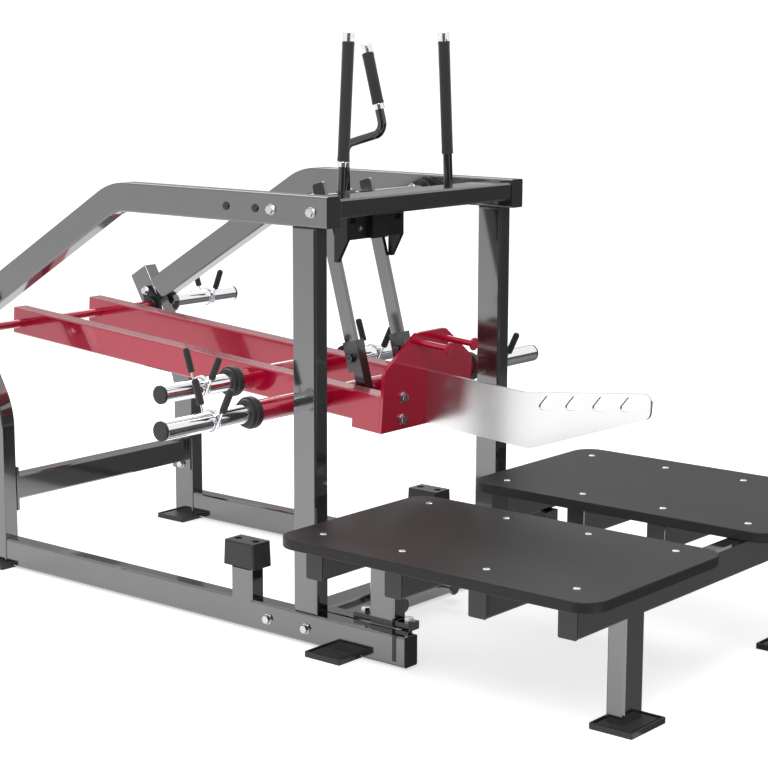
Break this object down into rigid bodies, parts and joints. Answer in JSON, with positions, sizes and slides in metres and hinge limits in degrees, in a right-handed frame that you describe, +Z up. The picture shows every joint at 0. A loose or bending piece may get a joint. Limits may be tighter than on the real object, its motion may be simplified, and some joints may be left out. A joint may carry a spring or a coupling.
{
  "type": "belt squat machine",
  "caption": "Plate-loaded belt squat machine with a pivoting lever, slotted belt blade, swinging rack hooks, sliding spring collars and a split platform.",
  "frame": {"origin": "on the floor under the middle of the bounding box", "axes": "+Z up, the platform toward -Y, X across"},
  "size_m": [1.556, 2.4846, 1.5527],
  "materials": {
    "frame_paint": "glossy gunmetal paint",
    "red_paint": "glossy deep red paint",
    "chrome": "polished chrome",
    "brushed_steel": "brushed stainless steel",
    "galvanised": "glossy gunmetal paint",
    "dark_steel": "black satin paint",
    "board": "matt dark grey",
    "rubber": "matt black rubber",
    "foam": "matt black foam"
  },
  "bodies": {
    "frame": {"base_beam_left": "frame_paint", "front_upright_left": "frame_paint", "rear_upright_left": "frame_paint", "top_beam_left": "frame_paint", "platform_post_left": "frame_paint", "hold_handle_left": "frame_paint", "board_left": "board", "front_foot_left": "rubber", "rear_foot_left": "rubber", "leg_foot_left": "rubber", "bump_block_left": "rubber", "hold_grip_left": "foam", "rack_bearing_left": "dark_steel", "lever_bearing_left": "dark_steel", "storage_horn_left": "chrome", "base_beam_right": "frame_paint", "front_upright_right": "frame_paint", "rear_upright_right": "frame_paint", "top_beam_right": "frame_paint", "platform_post_right": "frame_paint", "hold_handle_right": "frame_paint", "board_right": "board", "front_foot_right": "rubber", "rear_foot_right": "rubber", "leg_foot_right": "rubber", "bump_block_right": "rubber", "hold_grip_right": "foam", "rack_bearing_right": "dark_steel", "lever_bearing_right": "dark_steel", "storage_horn_right": "chrome", "top_crossbar": "frame_paint", "rear_crossbeam": "frame_paint", "base_crossbeam": "frame_paint", "platform_frame": "frame_paint", "rack_stop": "dark_steel"},
    "lever": {"lever_beam_left": "red_paint", "lever_beam_right": "red_paint", "front_horn_left": "chrome", "front_horn_right": "chrome", "rear_horn_left": "chrome", "rear_horn_right": "chrome", "front_horn_tube": "red_paint", "rear_horn_tube": "red_paint", "pivot_shaft": "red_paint", "end_box": "red_paint", "head_plate": "red_paint", "belt_blade": "brushed_steel"},
    "rack": {"strut_left": "galvanised", "strut_right": "galvanised", "hook_left": "galvanised", "hook_right": "galvanised", "rack_shaft": "galvanised", "release_handle": "galvanised", "release_grip": "foam"},
    "front_clip_left": {"front_collar_left": "chrome"},
    "front_clip_right": {"front_collar_right": "chrome"},
    "rear_clip_left": {"rear_collar_left": "chrome"},
    "rear_clip_right": {"rear_collar_right": "chrome"},
    "storage_clip_left": {"storage_collar_left": "chrome"},
    "storage_clip_right": {"storage_collar_right": "chrome"}
  },
  "joints": [
    {"name": "lever_pivot", "type": "hinge", "parent": "frame", "child": "lever", "pos_m": [0, 1.13472, 0.684], "axis": [1, 0, 0], "range_deg": [-1.2, 16.3]},
    {"name": "rack_release", "type": "hinge", "parent": "frame", "child": "rack", "pos_m": [0, 0.01322, 1.1138], "axis": [1, 0, 0], "range_deg": [-5, 3.2]},
    {"name": "front_clip_slide_left", "type": "slide", "parent": "lever", "child": "front_clip_left", "axis": [-1, 0, 0], "range_m": [-0.108, 0.168]},
    {"name": "front_clip_slide_right", "type": "slide", "parent": "lever", "child": "front_clip_right", "axis": [1, 0, 0], "range_m": [-0.108, 0.168]},
    {"name": "rear_clip_slide_left", "type": "slide", "parent": "lever", "child": "rear_clip_left", "axis": [-1, 0, 0], "range_m": [-0.086, 0.145]},
    {"name": "rear_clip_slide_right", "type": "slide", "parent": "lever", "child": "rear_clip_right", "axis": [1, 0, 0], "range_m": [-0.086, 0.145]},
    {"name": "storage_clip_slide_left", "type": "slide", "parent": "frame", "child": "storage_clip_left", "axis": [-1, 0, 0], "range_m": [-0.151, 0.111]},
    {"name": "storage_clip_slide_right", "type": "slide", "parent": "frame", "child": "storage_clip_right", "axis": [1, 0, 0], "range_m": [-0.151, 0.111]}
  ]
}
